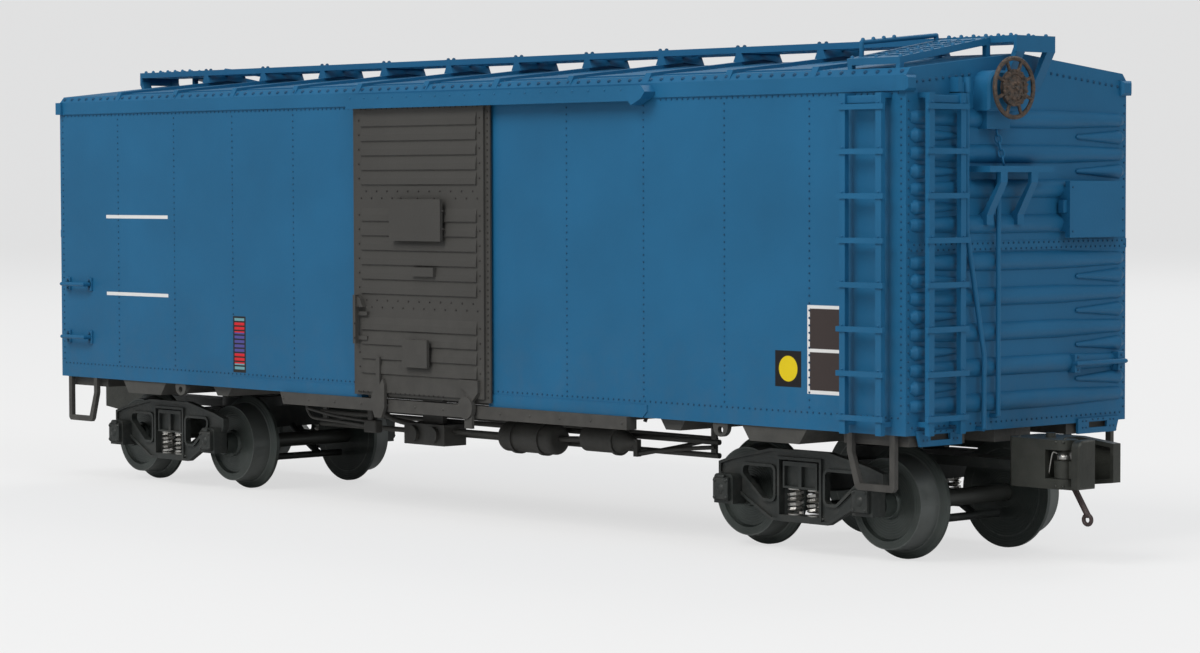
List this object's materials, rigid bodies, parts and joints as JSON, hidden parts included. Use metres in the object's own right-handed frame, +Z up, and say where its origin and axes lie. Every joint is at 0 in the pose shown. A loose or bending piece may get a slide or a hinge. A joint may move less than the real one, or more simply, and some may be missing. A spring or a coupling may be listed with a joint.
{
  "type": "gauge 0 model railroad boxcar",
  "caption": "Gauge 0 scale model of a steel boxcar with sliding side doors, swivelling spring trucks, knuckle couplers, ladders, roof walk and brake wheel.",
  "frame": {"origin": "on the floor under the middle of the car, where the wheel flanges rest", "axes": "+X towards the end with the brake wheel, -Y towards the near side, +Z up"},
  "size_m": [0.2972, 0.0666, 0.0945],
  "materials": {
    "blue_shell": "satin painted moulding",
    "grey_trim": "satin painted moulding",
    "underframe": "matte",
    "wheel_metal": "blackened, turned",
    "truck_casting": "blackened",
    "spring_steel": "bright wire",
    "coupler_metal": "blackened",
    "lever_brown": "satin",
    "rusty_wheel": "matte rust brown"
  },
  "bodies": {
    "car_body": {"air_reservoir": "underframe", "bolster_brake": "underframe", "bolster_plain": "underframe", "brake_cylinder": "underframe", "brake_housing": "blue_shell", "brake_pipe": "underframe", "brake_platform": "blue_shell", "brake_rods": "blue_shell", "brake_wheel": "rusty_wheel", "centre_sill": "underframe", "control_valve": "underframe", "corner_steps": "grey_trim", "crossbearers": "underframe", "door_header_far": "blue_shell", "door_header_near": "blue_shell", "end_boards": "blue_shell", "end_brackets": "blue_shell", "end_grabs": "blue_shell", "end_ladder_brake": "blue_shell", "end_ladder_plain": "blue_shell", "end_wall_brake": "blue_shell", "end_wall_plain": "blue_shell", "floor": "underframe", "lateral_boards": "blue_shell", "roof": "blue_shell", "running_board": "blue_shell", "side_grabs": "blue_shell", "side_ladder_far": "blue_shell", "side_ladder_near": "blue_shell", "side_panel_left_far": "blue_shell", "side_panel_left_near": "blue_shell", "side_panel_right_far": "blue_shell", "side_panel_right_near": "blue_shell", "sill_track_far": "grey_trim", "sill_track_near": "grey_trim", "upper_track_far": "blue_shell", "upper_track_near": "blue_shell"},
    "truck_brake": {"sideframe_brake_near": "truck_casting", "sideframe_brake_far": "truck_casting", "truck_bolster_brake": "truck_casting", "springs_brake": "spring_steel", "coupler_head_brake": "coupler_metal", "hose_lever_brake": "lever_brown"},
    "axle_brake_outer": {"wheelset_brake_outer": "wheel_metal"},
    "axle_brake_inner": {"wheelset_brake_inner": "wheel_metal"},
    "knuckle_brake": {"knuckle_brake": "coupler_metal"},
    "truck_plain": {"sideframe_plain_near": "truck_casting", "sideframe_plain_far": "truck_casting", "truck_bolster_plain": "truck_casting", "springs_plain": "spring_steel", "coupler_head_plain": "coupler_metal", "hose_lever_plain": "lever_brown"},
    "axle_plain_outer": {"wheelset_plain_outer": "wheel_metal"},
    "axle_plain_inner": {"wheelset_plain_inner": "wheel_metal"},
    "knuckle_plain": {"knuckle_plain": "coupler_metal"},
    "door_near": {"door_near": "grey_trim"},
    "door_far": {"door_far": "grey_trim"}
  },
  "joints": [
    {"name": "truck_brake_swivel", "type": "hinge", "parent": "car_body", "child": "truck_brake", "pos_m": [0.0979, 0, 0.0191], "axis": [0, 0, 1], "range_deg": [-14, 14]},
    {"name": "axle_brake_outer_spin", "type": "hinge", "parent": "truck_brake", "child": "axle_brake_outer", "pos_m": [0.11535, 0, 0.01025], "axis": [0, 1, 0], "continuous": true},
    {"name": "axle_brake_inner_spin", "type": "hinge", "parent": "truck_brake", "child": "axle_brake_inner", "pos_m": [0.08045, 0, 0.01025], "axis": [0, 1, 0], "continuous": true},
    {"name": "knuckle_brake_swing", "type": "hinge", "parent": "truck_brake", "child": "knuckle_brake", "pos_m": [0.1432, -0.0032, 0.0181], "axis": [0, 0, -1], "range_deg": [0, 35]},
    {"name": "truck_plain_swivel", "type": "hinge", "parent": "car_body", "child": "truck_plain", "pos_m": [-0.0979, 0, 0.0191], "axis": [0, 0, 1], "range_deg": [-14, 14]},
    {"name": "axle_plain_outer_spin", "type": "hinge", "parent": "truck_plain", "child": "axle_plain_outer", "pos_m": [-0.11535, 0, 0.01025], "axis": [0, 1, 0], "continuous": true},
    {"name": "axle_plain_inner_spin", "type": "hinge", "parent": "truck_plain", "child": "axle_plain_inner", "pos_m": [-0.08045, 0, 0.01025], "axis": [0, 1, 0], "continuous": true},
    {"name": "knuckle_plain_swing", "type": "hinge", "parent": "truck_plain", "child": "knuckle_plain", "pos_m": [-0.1432, 0.0032, 0.0181], "axis": [0, 0, -1], "range_deg": [0, 35]},
    {"name": "door_near_slide", "type": "slide", "parent": "car_body", "child": "door_near", "axis": [1, 0, 0], "range_m": [0, 0.041]},
    {"name": "door_far_slide", "type": "slide", "parent": "car_body", "child": "door_far", "axis": [-1, 0, 0], "range_m": [0, 0.041]}
  ]
}
